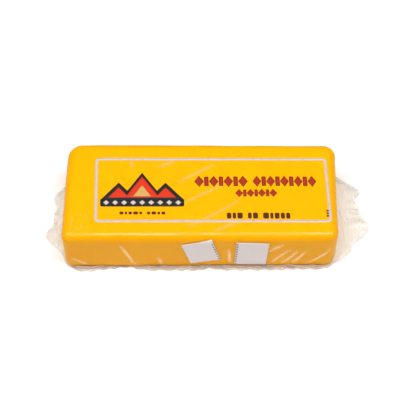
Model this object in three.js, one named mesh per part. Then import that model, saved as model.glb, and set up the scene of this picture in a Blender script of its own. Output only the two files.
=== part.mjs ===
// A bar of cheddar sealed in clear film, lying on its flat underside, with two paper labels on its front.
// Millimetres. X runs along the bar, Y from its front to its back, Z up from the table.
// The origin is the middle of the bar's flat underside.

import * as THREE from 'three';
import { ParametricGeometry } from 'three/addons/geometries/ParametricGeometry.js';

// The bar, as cut
const BLOCK_LENGTH = 134;
const BLOCK_WIDTH = 56;
const BLOCK_HEIGHT = 28;
const EDGE_RADIUS = 4.2;
const CORNER_RADII = { frontRight: 5.5, backRight: 5.5, backLeft: 7.5, frontLeft: 4.5 };
const WIDTH_TAPER = 1.4; // how much wider the left end is than the right
const END_SKEW = 0.0127; // how far the ends lean to the right for each millimetre towards the back
const EDGE_FACETS = 8;
const CORNER_FACETS = 8;

// The sealed margin of the film, which lies around the foot of the bar
const FILM_THICKNESS = 0.35;
const FILM_TUCK = 1.4; // how far it starts in under the bar's rounded lower edge
const SEAL_HEIGHT = 0.55; // height of its middle where it starts
const FILM_STEPS_AROUND = 208;
const FILM_STEPS_ACROSS = 6;

// Along the front and back the margin is a narrow wavy hem, drawn in where the film is pinched
const HEM_REACH = 2.3;
const HEM_LIFT = 0.75;
const HEM_RIPPLE = 0.42;
const HEM_RIPPLE_LENGTH = 10.5;
const FRONT_PINCHES = [
  { at: -36, depth: 1.9, spread: 6 },
  { at: 5, depth: 1.1, spread: 2.5 },
  { at: 50, depth: 1.5, spread: 6 },
];
const BACK_PINCHES = [
  { at: -47, depth: 1.4, spread: 5 },
  { at: -9, depth: 1.7, spread: 7 },
  { at: 31, depth: 1.2, spread: 4 },
];

// At the two ends it is a wide crumpled flap, made of a few lobes that run into each other
const RIGHT_LOBES = [
  { at: -19.3, reach: 8.2, spread: 3.4 },
  { at: -6.5, reach: 18.2, spread: 8.5 },
  { at: 4.5, reach: 13.6, spread: 7 },
  { at: 14.9, reach: 14.6, spread: 5.4 },
];
const LEFT_LOBES = [
  { at: -10.5, reach: 11.2, spread: 6 },
  { at: 0, reach: 8, spread: 7 },
  { at: 11, reach: 8.6, spread: 6 },
];
const LOBE_JOINING = 4; // the higher, the sharper the valley between two lobes
const FLAP_LIFT = 0.17; // this and the two depths below are shares of the flap's reach
const FLAP_ARCH = 0.75; // share of a half wave that the flap's rise and droop take up
const PLEAT_DEPTH = 0.09;
const PLEAT_LENGTH = 9.2;
const CREASE_DEPTH = 0.03;
const CREASE_LENGTH = 4.3;

// The paper labels on the front. turn is in degrees, anticlockwise as seen from the front
const LABEL_THICKNESS = 0.3;
const LABEL_GAP = 0.3;
const LABELS = [
  { name: 'label_left', x: 0.3, z: 15.5, width: 15.3, height: 18.4, turn: 14 },
  { name: 'label_right', x: 24.9, z: 13.6, width: 15.7, height: 21.2, turn: -2.5 },
];
const LABEL_STEPS_WIDE = 4;
const LABEL_STEPS_HIGH = 14;

const cheddar = new THREE.MeshStandardMaterial({ color: 0xf6b41c, roughness: 0.35, metalness: 0 });
const clearFilm = new THREE.MeshStandardMaterial({
  color: 0xf1e8de,
  roughness: 0.15,
  metalness: 0,
  transparent: true,
  opacity: 0.45,
});
const labelPaper = new THREE.MeshStandardMaterial({ color: 0xd6cbc7, roughness: 0.6, metalness: 0 });

// A rectangle centred on the origin, drawn anticlockwise from the front left. inset is taken off each side
// and each corner's radius.
function roundedRectangle(path, inset) {
  const right = BLOCK_LENGTH / 2 - inset;
  const back = BLOCK_WIDTH / 2 - inset;
  const quarter = Math.PI / 2;
  const corners = [
    { x: 1, y: -1, radius: CORNER_RADII.frontRight - inset, from: -quarter },
    { x: 1, y: 1, radius: CORNER_RADII.backRight - inset, from: 0 },
    { x: -1, y: 1, radius: CORNER_RADII.backLeft - inset, from: quarter },
    { x: -1, y: -1, radius: CORNER_RADII.frontLeft - inset, from: 2 * quarter },
  ];
  path.moveTo(-right + CORNER_RADII.frontLeft - inset, -back);
  for (const { x, y, radius, from } of corners) {
    const centreX = x * (right - radius);
    const centreY = y * (back - radius);
    path.lineTo(centreX + radius * Math.cos(from), centreY + radius * Math.sin(from));
    path.absarc(centreX, centreY, radius, from, from + quarter, false);
  }
  return path;
}

// The bar narrows a little from left to right, so a place across it is scaled by this
function widthScale(x) {
  return 1 - (WIDTH_TAPER / BLOCK_WIDTH) * (x / BLOCK_LENGTH);
}

// Carries a place in the true rectangle to the bar as it was cut, tapered and a little askew
function asCut(point) {
  point.y *= widthScale(point.x);
  point.x += END_SKEW * point.y;
}

// How far the bar's upright face has rounded back at height z
function edgeInset(z) {
  const aboveLower = Math.max(0, EDGE_RADIUS - z);
  const belowUpper = Math.max(0, z - (BLOCK_HEIGHT - EDGE_RADIUS));
  const past = Math.min(EDGE_RADIUS, Math.max(aboveLower, belowUpper));
  return EDGE_RADIUS - Math.sqrt(EDGE_RADIUS ** 2 - past ** 2);
}

// Moves every vertex of a geometry by a function of its place
function shape(geometry, move) {
  const places = geometry.attributes.position;
  const point = new THREE.Vector3();
  for (let i = 0; i < places.count; i += 1) {
    point.fromBufferAttribute(places, i);
    move(point);
    places.setXYZ(i, point.x, point.y, point.z);
  }
  geometry.computeVertexNormals();
  return geometry;
}

// The bar: a rounded rectangle extruded upwards, with its long edges rounded by the bevel
function cheeseBlock() {
  const outline = roundedRectangle(new THREE.Shape(), EDGE_RADIUS);
  const geometry = new THREE.ExtrudeGeometry(outline, {
    depth: BLOCK_HEIGHT - 2 * EDGE_RADIUS,
    bevelThickness: EDGE_RADIUS,
    bevelSize: EDGE_RADIUS,
    bevelSegments: EDGE_FACETS,
    curveSegments: CORNER_FACETS,
  });
  geometry.translate(0, 0, EDGE_RADIUS);
  return shape(geometry, asCut);
}

function bell(distance, spread) {
  return Math.exp(-(distance ** 2) / (2 * spread ** 2));
}

// Reach of the narrow hem at a place along the bar
function hemReach(x, pinches) {
  return pinches.reduce((reach, pinch) => reach - pinch.depth * bell(x - pinch.at, pinch.spread), HEM_REACH);
}

// Reach of an end flap at a place across the bar: the largest of its lobes, run smoothly together
function flapReach(y, lobes) {
  const sum = lobes.reduce((total, lobe) => {
    return total + (lobe.reach * bell(y - lobe.at, lobe.spread)) ** LOBE_JOINING;
  }, 0);
  return sum ** (1 / LOBE_JOINING);
}

// The middle of the film margin. around goes once about the foot of the bar, and across runs from 0
// under the bar's edge to 1 at the free edge. The hem turns into the flap as the bar's face turns to its end.
const foot = roundedRectangle(new THREE.Path(), 0);
function marginMiddle(around, across) {
  const place = foot.getPointAt(around);
  const tangent = foot.getTangentAt(around);
  const outward = new THREE.Vector2(tangent.y, -tangent.x);
  const endShare = outward.x ** 2;
  const pinches = outward.y < 0 ? FRONT_PINCHES : BACK_PINCHES;
  const lobes = outward.x > 0 ? RIGHT_LOBES : LEFT_LOBES;
  const flap = flapReach(place.y, lobes);
  const reach = (1 - endShare) * hemReach(place.x, pinches) + endShare * flap;
  const distance = across * (FILM_TUCK + reach) - FILM_TUCK;
  const turn = 2 * Math.PI;
  const hemRise = HEM_LIFT + HEM_RIPPLE * Math.sin((turn * place.x) / HEM_RIPPLE_LENGTH);
  const pleat = PLEAT_DEPTH * Math.sin((turn * place.y) / PLEAT_LENGTH);
  const crease = CREASE_DEPTH * Math.sin((turn * place.y) / CREASE_LENGTH);
  const flapRise = FLAP_LIFT * Math.sin(Math.PI * FLAP_ARCH * across) + (pleat + crease) * across;
  const rise = (1 - endShare) * hemRise * across + endShare * flap * flapRise;
  asCut(place);
  return new THREE.Vector3(
    place.x + outward.x * distance,
    place.y + outward.y * distance,
    SEAL_HEIGHT + rise,
  );
}

// The film margin is one closed ring: out along its upper face, over the free edge and back underneath
function filmMargin() {
  const corners = 2 * (FILM_STEPS_ACROSS + 1);
  const surface = (u, v, target) => {
    const corner = Math.round(v * corners) % corners;
    const onTop = corner <= FILM_STEPS_ACROSS;
    const step = onTop ? corner : corners - 1 - corner;
    target.copy(marginMiddle(u % 1, step / FILM_STEPS_ACROSS));
    target.z += onTop ? FILM_THICKNESS / 2 : -FILM_THICKNESS / 2;
  };
  return new ParametricGeometry((u, v, target) => surface(1 - u, v, target), FILM_STEPS_AROUND, corners);
}

// A label: a thin plate that stands just off the bar's front and follows its rounded edges
function paperLabel(label) {
  const geometry = new THREE.BoxGeometry(
    label.width,
    LABEL_THICKNESS,
    label.height,
    LABEL_STEPS_WIDE,
    1,
    LABEL_STEPS_HIGH,
  );
  geometry.rotateY(-THREE.MathUtils.degToRad(label.turn));
  geometry.translate(label.x, -LABEL_GAP - LABEL_THICKNESS / 2, label.z);
  return shape(geometry, (point) => {
    point.y += edgeInset(point.z) - (BLOCK_WIDTH / 2) * widthScale(point.x);
  });
}

function piece(name, geometry, material) {
  const mesh = new THREE.Mesh(geometry, material);
  mesh.name = name;
  return mesh;
}

const pack = new THREE.Group();
pack.add(piece('cheese_block', cheeseBlock(), cheddar));
pack.add(piece('film_margin', filmMargin(), clearFilm));
for (const label of LABELS) {
  pack.add(piece(label.name, paperLabel(label), labelPaper));
}

export default pack;
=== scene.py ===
"""Dresses the film-wrapped cheddar bar: cheese, clear film, print and paper labels, in soft studio light.

Shapes are worked out in millimetres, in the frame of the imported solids, and go into the meshes in metres.
X runs along the bar, Y from its labelled front to its back, Z up from the table.
"""

import logging
import math
from dataclasses import dataclass
from enum import Enum
from typing import Any

import bmesh
import bpy
import numpy as np
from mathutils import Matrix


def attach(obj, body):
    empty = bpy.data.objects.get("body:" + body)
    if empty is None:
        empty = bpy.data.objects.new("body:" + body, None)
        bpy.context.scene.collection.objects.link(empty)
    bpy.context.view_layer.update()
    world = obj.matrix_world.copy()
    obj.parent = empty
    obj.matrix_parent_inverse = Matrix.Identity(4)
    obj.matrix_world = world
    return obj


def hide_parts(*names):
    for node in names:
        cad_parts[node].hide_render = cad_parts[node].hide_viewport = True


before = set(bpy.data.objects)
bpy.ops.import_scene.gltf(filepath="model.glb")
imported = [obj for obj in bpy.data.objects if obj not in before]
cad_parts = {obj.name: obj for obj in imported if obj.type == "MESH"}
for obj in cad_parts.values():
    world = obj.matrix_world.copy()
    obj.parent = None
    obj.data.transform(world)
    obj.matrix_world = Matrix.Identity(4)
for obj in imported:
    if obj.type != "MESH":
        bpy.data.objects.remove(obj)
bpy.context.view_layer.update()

BODY = "root"
MM = 0.001
TURN = 2 * math.pi
QUARTER = math.pi / 2
MERGE_DISTANCE = 1e-7
PLATE_ROWS = 6
ARC_POINTS = 5
BAR_STEPS = 3
HILL_STEPS = 8
LOZENGE_STEPS = 4

log = logging.getLogger("cheddar_bar")

Array = np.ndarray
Thing = bpy.types.Object
Material = bpy.types.Material
Node = bpy.types.Node
Tree = bpy.types.NodeTree
Values = dict[str, Array]
Pair = tuple[float, float]
Triple = tuple[float, float, float]
Four = tuple[float, float, float, float]
Rows = tuple[tuple[float, ...], ...]


class Slot(Enum):
    """The record's material slots."""

    CHEDDAR = "cheddar"
    FILM = "clear_film"
    PAPER = "label_paper"


class Face(Enum):
    """The faces of the bar that print, paper and folds lie on."""

    TOP = "top"
    FRONT = "front"
    BACK = "back"
    LEFT = "left"
    RIGHT = "right"


# Helpers for arrays and meshes


def bell(distance: Array, spread: float) -> Array:
    """A bell curve, 1 in the middle and about 0.6 one spread away."""
    return np.exp(-(distance**2) / (2 * spread**2))


def smooth(value: Array, low: float, high: float) -> Array:
    """A smooth step from 0 at low to 1 at high."""
    share = np.clip((value - low) / (high - low), 0.0, 1.0)
    return share * share * (3 - 2 * share)


def blend(share: Array, hem: Array | float, flap: Array | float) -> Array:
    """Runs from the hem's value, where share is 0, to the flap's, where it is 1."""
    return (1 - share) * hem + share * flap


def swell(angle: Array) -> Array:
    """A sine wave from 0 to 1."""
    return 0.5 + 0.5 * np.sin(angle)


def zigzag(turns: Array, sharpness: float = 0.95) -> Array:
    """A triangle wave between about -0.8 and 0.8 with slightly rounded crests, once for each whole turn."""
    return np.arcsin(sharpness * np.sin(TURN * turns)) * 2 / math.pi


@dataclass(frozen=True)
class Wander:
    """A wave's angle: a radian for each run of millimetres, swayed by bend with the run of bend_run."""

    run: float
    bend: float
    bend_run: float

    def angle(self, place: Array) -> Array:
        """The wave's angle at each place."""
        return place / self.run + self.bend * np.sin(place / self.bend_run)


def mesh_object(name: str, points: Array, quads: Array, values: Values | None = None) -> Thing:
    """Puts vertices and faces into a new object at the origin, with doubled vertices merged.

    Args:
        name: Name of the object and its mesh.
        points: Vertices in millimetres, n by 3.
        quads: Vertex numbers, m by 4, each face anticlockwise seen from outside.
        values: Named numbers for each vertex, kept as point attributes.

    Returns:
        The new object, linked to the scene.
    """
    mesh = bpy.data.meshes.new(name)
    mesh.vertices.add(len(points))
    mesh.vertices.foreach_set("co", (points * MM).astype(np.float32).ravel())
    mesh.loops.add(quads.size)
    mesh.loops.foreach_set("vertex_index", quads.astype(np.int32).ravel())
    mesh.polygons.add(len(quads))
    mesh.polygons.foreach_set("loop_start", np.arange(0, quads.size, 4, dtype=np.int32))
    for label, numbers in (values or {}).items():
        layer = mesh.attributes.new(label, "FLOAT", "POINT")
        layer.data.foreach_set("value", numbers.astype(np.float32).ravel())
    mesh.update(calc_edges=True)
    edit = bmesh.new()
    edit.from_mesh(mesh)
    bmesh.ops.remove_doubles(edit, verts=edit.verts, dist=MERGE_DISTANCE)
    edit.to_mesh(mesh)
    edit.free()
    thing = bpy.data.objects.new(name, mesh)
    bpy.context.scene.collection.objects.link(thing)
    return thing


def loft_faces(rows: int, around: int) -> Array:
    """Faces of a grid of rows, each a loop, anticlockwise seen from above, from the middle outwards."""
    row, place = np.meshgrid(np.arange(rows - 1), np.arange(around), indexing="ij")
    following = (place + 1) % around
    corners = [row * around + place, (row + 1) * around + place]
    corners += [(row + 1) * around + following, row * around + following]
    return np.stack(corners, axis=-1).reshape(-1, 4)


def loft(name: str, rows: Array, values: Values | None = None) -> Thing:
    """A closed surface through rows of points, each row a loop: rows by around by 3, in millimetres."""
    count, around = rows.shape[:2]
    thing = mesh_object(name, rows.reshape(-1, 3), loft_faces(count, around), values)
    thing.data.shade_smooth()
    return thing


# Helpers for materials


def linear(hex_colour: str) -> Four:
    """An sRGB hex colour as linear red, green, blue and a full alpha."""
    parts = [int(hex_colour[i : i + 2], 16) / 255 for i in (1, 3, 5)]
    red, green, blue = (c / 12.92 if c <= 0.04045 else ((c + 0.055) / 1.055) ** 2.4 for c in parts)
    return red, green, blue, 1.0


def per_mm(size: float) -> float:
    """The texture scale at which a pattern's features are that many millimetres across."""
    return 1.0 / (size * MM)


def add(tree: Tree, kind: str, inputs: dict[Any, Any] | None = None, **settings: Any) -> Node:
    """Adds a shader node to a tree.

    Args:
        tree: The material's or world's node tree.
        kind: The node's type name, without its first part, ShaderNode.
        inputs: Values by socket name or number. A socket is linked, and a node by its first output in use.
        settings: The node's own properties.

    Returns:
        The new node.
    """
    node = tree.nodes.new("ShaderNode" + kind)
    for label, value in settings.items():
        setattr(node, label, value)
    for key, value in (inputs or {}).items():
        if isinstance(value, Node):
            value = next(socket for socket in value.outputs if socket.enabled)
        if isinstance(value, bpy.types.NodeSocket):
            tree.links.new(value, node.inputs[key])
        else:
            node.inputs[key].default_value = value
    return node


# The bar


@dataclass(frozen=True)
class Walk:
    """Places around the bar's outline. Each lies on a corner's arc or between the ends of two arcs."""

    begin: Array
    end: Array
    share: Array
    outward: Array

    @property
    def count(self) -> int:
        """Number of places in the walk."""
        return len(self.share)

    @property
    def end_share(self) -> Array:
        """1 where the bar's face looks along it, 0 where it looks to the front or back."""
        return self.outward[:, 0] ** 2


@dataclass(frozen=True)
class Bar:
    """The form of the bar of cheese, which the film, the print and the labels follow."""

    length: float = 134.0
    width: float = 56.0
    height: float = 28.0
    edge: float = 4.2
    corners: Four = (5.5, 5.5, 7.5, 4.5)
    taper: float = 1.4
    skew: float = 0.0127
    relief: float = 0.07
    relief_count: int = 7
    relief_waves: Pair = (18.0, 60.0)
    relief_seed: int = 5

    def walk(self, along: int, across: int, corner: int) -> Walk:
        """Goes once around the outline from the front left, anticlockwise.

        Args:
            along: Steps on each long side.
            across: Steps on each end.
            corner: Steps on each corner.

        Returns:
            The places, corner by corner: front right, back right, back left and front left.
        """
        begin, end, share, angle = [], [], [], []
        for number, steps in enumerate((along, across, along, across)):
            side_angle = (number - 1) * QUARTER
            begin += [np.full(steps, (number - 1) % 4), np.full(corner, number)]
            end += [np.full(steps, number), np.full(corner, number)]
            share += [np.arange(steps) / steps, np.zeros(corner)]
            angle += [np.full(steps, side_angle), side_angle + np.arange(corner) / corner * QUARTER]
        turn = np.concatenate(angle)
        outward = np.stack([np.cos(turn), np.sin(turn)], axis=1)
        return Walk(np.concatenate(begin), np.concatenate(end), np.concatenate(share), outward)

    def arc_point(self, walk: Walk, corner: Array, inset: Array) -> Array:
        """The point of a corner's arc that faces the walk's way, on the outline moved in by inset.

        The arc keeps its middle until the inset uses up its radius; then the corner runs in diagonally.
        """
        signs = np.array([(1, -1), (1, 1), (-1, 1), (-1, -1)])[corner]
        radius = np.array(self.corners)[corner]
        kept = np.maximum(radius, inset)
        half = np.array([self.length / 2, self.width / 2])
        left = np.maximum(radius - inset, 0.0)
        return signs * (half - kept[..., None]) + left[..., None] * walk.outward

    def ring(self, walk: Walk, inset: Array) -> Array:
        """X and Y, by rows and places, on the outline as cut, moved in by inset or out where negative."""
        inset = np.broadcast_to(inset, (len(inset), walk.count))
        first = self.arc_point(walk, walk.begin, inset)
        last = self.arc_point(walk, walk.end, inset)
        return self.cut(first + (last - first) * walk.share[:, None])

    def cut(self, flat: Array) -> Array:
        """The true rectangle's places on the bar as cut: narrower to the right and a little askew."""
        y = flat[..., 1] * self.width_scale(flat[..., 0])
        return np.stack([flat[..., 0] + self.skew * y, y], axis=-1)

    def width_scale(self, x: Array) -> Array:
        """How wide the bar is at x, as a share of its middle."""
        return 1 - self.taper / self.width * x / self.length

    def inset_at(self, z: Array) -> Array:
        """How far the upright faces have rounded back at height z."""
        past = np.maximum(self.edge - z, z - (self.height - self.edge))
        past = np.clip(past, 0.0, self.edge)
        return self.edge - np.sqrt(self.edge**2 - past**2)

    def relief_at(self, points: Array) -> Array:
        """Gentle unevenness of the cut faces: a sum of long sine waves in random directions."""
        draw = np.random.default_rng(self.relief_seed)
        total = np.zeros(points.shape[:-1])
        for _ in range(self.relief_count):
            direction = draw.normal(size=3)
            direction /= np.linalg.norm(direction)
            wave = draw.uniform(*self.relief_waves)
            total += np.sin(points @ direction * TURN / wave + draw.uniform(0, TURN))
        return total * self.relief / math.sqrt(self.relief_count / 2)

    def corner_inset(self, along: Array, face: Face) -> Array:
        """How far an upright face has rounded back into its corners at places along it."""
        front_right, back_right, back_left, front_left = self.corners
        lower, upper = {
            Face.FRONT: (front_left, front_right),
            Face.BACK: (back_left, back_right),
            Face.LEFT: (front_left, back_left),
            Face.RIGHT: (front_right, back_right),
        }[face]
        half = self.length / 2 if face in (Face.FRONT, Face.BACK) else self.width / 2
        radius = np.where(along > 0, upper, lower)
        past = np.clip(np.abs(along) - (half - radius), 0.0, radius)
        return radius - np.sqrt(radius**2 - past**2)

    def on_face(self, places: Array, face: Face, off: float) -> Array:
        """Points that stand off a face and follow its rounded edges.

        Args:
            places: X and Y on the top, X and Z on the front and back, Y and Z on the ends.
            face: The face that they lie on.
            off: How far they stand off it.

        Returns:
            Points in space, with the same rows.
        """
        along, up = places[..., 0], places[..., 1]
        sign = 1 if face in (Face.BACK, Face.RIGHT) else -1
        if face is Face.TOP:
            flat = np.stack([along, up, np.full(along.shape, self.height)], axis=-1)
            away = np.array([0, 0, 1])
        elif face in (Face.FRONT, Face.BACK):
            inset = self.inset_at(up) + self.corner_inset(along, face)
            y = sign * (self.width / 2 * self.width_scale(along) - inset)
            flat = np.stack([along, y, up], axis=-1)
            away = np.array([0, sign, 0])
        else:
            inset = self.inset_at(up) + self.corner_inset(along, face)
            x = sign * (self.length / 2 - inset) + self.skew * along
            flat = np.stack([x, along, up], axis=-1)
            away = np.array([sign, 0, 0])
        return flat + away * (self.relief_at(flat) + off)[..., None]

    def skin(self, walk: Walk, top: int, edge: int, off: float) -> tuple[Array, Array]:
        """Points and directions on the upper face and its rounded edge, in top and edge rows, off the bar."""
        rounding = np.linspace(0, QUARTER, edge)
        flat = np.linspace(self.width / 2, self.edge, top, endpoint=False)
        inset = np.concatenate([flat, self.edge * (1 - np.sin(rounding))])
        lean = np.concatenate([np.zeros(top), rounding])
        level = self.height - self.edge * (1 - np.cos(lean))
        return self.stand_off(walk, inset, level, lean, off)

    def stand_off(
        self, walk: Walk, inset: Array, level: Array, lean: Array, off: float = 0.0
    ) -> tuple[Array, Array]:
        """Rows at given insets and heights, moved off the surface along its direction.

        Args:
            walk: Where to go around.
            inset: Inset of each row.
            level: Height of each row, by row or by row and place.
            lean: Angle of each row's outward direction from straight up.
            off: How far to move, on top of the relief.

        Returns:
            Points and their outward directions, rows by places by 3.
        """
        place = self.ring(walk, inset[:, None])
        height = np.broadcast_to(level if level.ndim == 2 else level[:, None], place.shape[:2])
        points = np.concatenate([place, height[..., None]], axis=-1)
        side = np.sin(lean)[:, None, None] * walk.outward
        up = np.broadcast_to(np.cos(lean)[:, None, None], place.shape[:2] + (1,))
        away = np.concatenate([side, up], axis=-1)
        return points + away * (self.relief_at(points) + off)[..., None], away

    def underside(self, walk: Walk, insets: Array, level: float) -> tuple[Array, Array]:
        """Flat rows under the bar at given insets, and their outward directions."""
        flat = np.full(len(insets), level)
        rows, away = self.stand_off(walk, insets, flat, np.full(len(insets), math.pi))
        rows[..., 2] = level
        return rows, away


# Finishes


class Finish:
    """What the finishes share: a node material around the surface that each one builds."""

    name: str

    def surface(self, tree: Tree) -> Node:
        """Adds the finish's own nodes and gives the last of them."""
        raise NotImplementedError

    def material(self) -> Material:
        """Builds the material."""
        material = bpy.data.materials.new(self.name)
        material.use_nodes = True
        tree = material.node_tree
        tree.nodes.clear()
        add(tree, "OutputMaterial", {"Surface": self.surface(tree)})
        return material


@dataclass(frozen=True)
class CheddarFinish(Finish):
    """Cheddar, pressed and wire-cut: waxy and a little translucent, mottled by its curds, finely grained."""

    name: str = "cheddar_wire_cut"
    pale: str = "#FBB404"
    deep: str = "#F7A802"
    mottle: float = 7.0
    grain: float = 0.7
    grain_depth: float = 0.05
    glow_depth: float = 2.5

    def surface(self, tree: Tree) -> Node:
        """Curds mottle the colour, and a fine grain breaks up the light."""
        where = add(tree, "TexCoord").outputs["Object"]
        curds = add(tree, "TexNoise", {"Vector": where, "Scale": per_mm(self.mottle), "Detail": 3.0})
        grain = add(tree, "TexNoise", {"Vector": where, "Scale": per_mm(self.grain), "Detail": 2.0})
        colour = add(tree, "Mix", {0: curds, 6: linear(self.deep), 7: linear(self.pale)}, data_type="RGBA")
        bump = add(tree, "Bump", {"Height": grain, "Strength": 0.25, "Distance": self.grain_depth * MM})
        sockets = {"Base Color": colour, "Roughness": 0.5, "IOR": 1.45, "Specular IOR Level": 0.05}
        sockets |= {"Subsurface Weight": 0.25, "Subsurface Radius": (1.0, 0.45, 0.1)}
        sockets |= {"Subsurface Scale": self.glow_depth * MM, "Normal": bump}
        return add(tree, "BsdfPrincipled", sockets)


@dataclass(frozen=True)
class FilmFinish(Finish):
    """Clear polyethylene vacuum film, heat-sealed: glossy and clear where tight, milky in folds and seals,
    with a painted highlight in the milk of its folds and painted shade in the tint of its sealed hem.
    """

    name: str = "clear_film_heat_sealed"
    clear: str = "#FFFFFD"
    # The sealed tint is painted shade and a painted warm reflection of the cheese, deep on the hem and faint
    # on the flaps
    sealed: str = "#E9E4DF"
    # The peach milk of the folds on the bar is a painted highlight with the cheese's colour
    fold_milk_highlight: str = "#FFE6B0"
    seal_milk: str = "#FEFBF9"
    gloss: str = "#FFFFFF"
    index: float = 1.5
    flap_seal: float = 0.1
    crest_rise: float = 2.4
    crest_roughness: float = 0.3
    crest_share: float = 0.08
    roughness: float = 0.08
    ripple: float = 1.6
    ripple_depth: float = 0.1

    def surface(self, tree: Tree) -> Node:
        """Three attributes say how milky, tinted and glossy the film is. The milk on folds and hem lines is a
        painted highlight, and the tint of the hem is painted shade.
        """
        where = add(tree, "TexCoord").outputs["Object"]
        haze_and_highlight, seal_and_shade, shine = (
            add(tree, "Attribute", attribute_name=name).outputs["Fac"] for name in ("haze_and_highlight", "seal_and_shade", "shine")
        )
        ripple = add(tree, "TexNoise", {"Vector": where, "Scale": per_mm(self.ripple), "Detail": 2.0})
        bump = add(tree, "Bump", {"Height": ripple, "Strength": 0.25, "Distance": self.ripple_depth * MM})
        # Where sealed, the see-through film is tinted with painted shade
        seal_shade_tint = add(tree, "Mix", {0: seal_and_shade, 6: linear(self.clear), 7: linear(self.sealed)}, data_type="RGBA")
        through = add(tree, "BsdfTransparent", {"Color": seal_shade_tint})
        # Folds on the bar get peach milk, a painted highlight with the cheese's colour, and those of the
        # margin stay white
        off_bar = add(tree, "MapRange", {0: seal_and_shade, 2: self.flap_seal})
        milks = {0: off_bar, 6: linear(self.fold_milk_highlight), 7: linear(self.seal_milk)}
        white = add(tree, "Mix", milks, data_type="RGBA")
        milk = add(tree, "BsdfDiffuse", {"Color": white, "Normal": bump})
        # The crest of a fold has facets too fine to model, which catch the light from above
        raised = add(tree, "VectorMath", {0: bump, 1: (0.0, 0.0, self.crest_rise)}, operation="ADD")
        upward = add(tree, "VectorMath", {0: raised}, operation="NORMALIZE")
        facets = {"Color": linear(self.fold_milk_highlight), "Roughness": self.crest_roughness, "Normal": upward}
        crest = add(tree, "BsdfGlossy", facets)
        fold = add(tree, "MixShader", {0: self.crest_share, 1: milk, 2: crest})
        glow = add(tree, "BsdfTranslucent", {"Color": white, "Normal": bump})
        cloud = add(tree, "MixShader", {0: seal_and_shade, 1: fold, 2: glow})
        body = add(tree, "MixShader", {0: haze_and_highlight, 1: through, 2: cloud})
        smooth_face = {"Color": linear(self.gloss), "Roughness": self.roughness, "Normal": bump}
        mirror = add(tree, "BsdfGlossy", smooth_face)
        fresnel = add(tree, "Fresnel", {"IOR": self.index, "Normal": bump})
        share = add(tree, "Math", {0: fresnel, 1: shine}, operation="MULTIPLY")
        return add(tree, "MixShader", {0: share, 1: body, 2: mirror})


@dataclass(frozen=True)
class InkFinish(Finish):
    """Gravure ink on film: a thin satin layer, a little uneven where the ink lay thinner."""

    name: str
    colour: str
    thin: str
    patch: float = 2.5
    thin_from: float = 0.45
    thin_to: float = 0.75

    def surface(self, tree: Tree) -> Node:
        """Soft patches of thinner ink under a satin gloss."""
        where = add(tree, "TexCoord").outputs["Object"]
        patches = add(tree, "TexNoise", {"Vector": where, "Scale": per_mm(self.patch), "Detail": 3.0})
        limits = {0: patches, 1: self.thin_from, 2: self.thin_to}
        share = add(tree, "MapRange", limits, interpolation_type="SMOOTHSTEP")
        colour = add(tree, "Mix", {0: share, 6: linear(self.colour), 7: linear(self.thin)}, data_type="RGBA")
        sockets = {"Base Color": colour, "Roughness": 0.45, "IOR": 1.5, "Specular IOR Level": 0.2}
        return add(tree, "BsdfPrincipled", sockets)


@dataclass(frozen=True)
class PaperFinish(Finish):
    """Uncoated label paper: matt off-white with a faint fibre grain."""

    name: str = "label_paper_uncoated"
    light: str = "#E8DEDB"
    dark: str = "#DAD0CD"
    fibre: float = 0.8
    fibre_depth: float = 0.03

    def surface(self, tree: Tree) -> Node:
        """Fibres vary the shade and roughen the face."""
        where = add(tree, "TexCoord").outputs["Object"]
        fibres = add(tree, "TexNoise", {"Vector": where, "Scale": per_mm(self.fibre), "Detail": 4.0})
        colour = add(tree, "Mix", {0: fibres, 6: linear(self.dark), 7: linear(self.light)}, data_type="RGBA")
        bump = add(tree, "Bump", {"Height": fibres, "Strength": 0.3, "Distance": self.fibre_depth * MM})
        sockets = {"Base Color": colour, "Roughness": 0.7, "IOR": 1.5, "Normal": bump}
        return add(tree, "BsdfPrincipled", sockets)


@dataclass(frozen=True)
class FloorFinish(Finish):
    """White board, painted matt: an even surface that throws soft light back up at the bar."""

    name: str = "floor_matt_white_board"
    white: str = "#FBFBFB"

    def surface(self, tree: Tree) -> Node:
        """One plain matt colour."""
        sockets = {"Base Color": linear(self.white), "Roughness": 0.9, "Specular IOR Level": 0.1}
        return add(tree, "BsdfPrincipled", sockets)


class Ink(Enum):
    """The inks of the print and the labels."""

    WHITE = InkFinish("white_ink_on_film", "#CDBFBB", "#C6B4A8")
    RED = InkFinish("red_ink_on_film", "#D4361E", "#C83A20")
    BRICK = InkFinish("brick_red_ink_on_film", "#A8301C", "#A03A20")
    MAROON = InkFinish("maroon_ink_on_film", "#5C2620", "#6A3020")
    BROWN = InkFinish("brown_ink_on_film", "#562B15", "#633418")
    CHARCOAL = InkFinish("charcoal_ink_on_film", "#272726", "#322E28")
    CREAM = InkFinish("cream_ink_on_film", "#CBA360", "#C49850")
    GREY = InkFinish("grey_ink_on_paper", "#322E2C", "#4A4644", 0.6)


def finish_piece(thing: Thing, material: Material, slot: Slot, *nodes: str) -> None:
    """Gives a piece its material and its body, hides the solids that it stands for, and reports it."""
    thing.data.materials.append(material)
    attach(thing, BODY)
    if nodes:
        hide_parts(*nodes)
    log.info("%s: %d faces, %s", thing.name, len(thing.data.polygons), material.name)


# The folds of film


@dataclass(frozen=True)
class Crest:
    """A kind of fold: how far it stands off, the spread of its bell and how milky it is, milk that is a
    painted highlight along the fold.
    """

    height: float
    width: float
    haze_and_highlight: float


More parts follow.
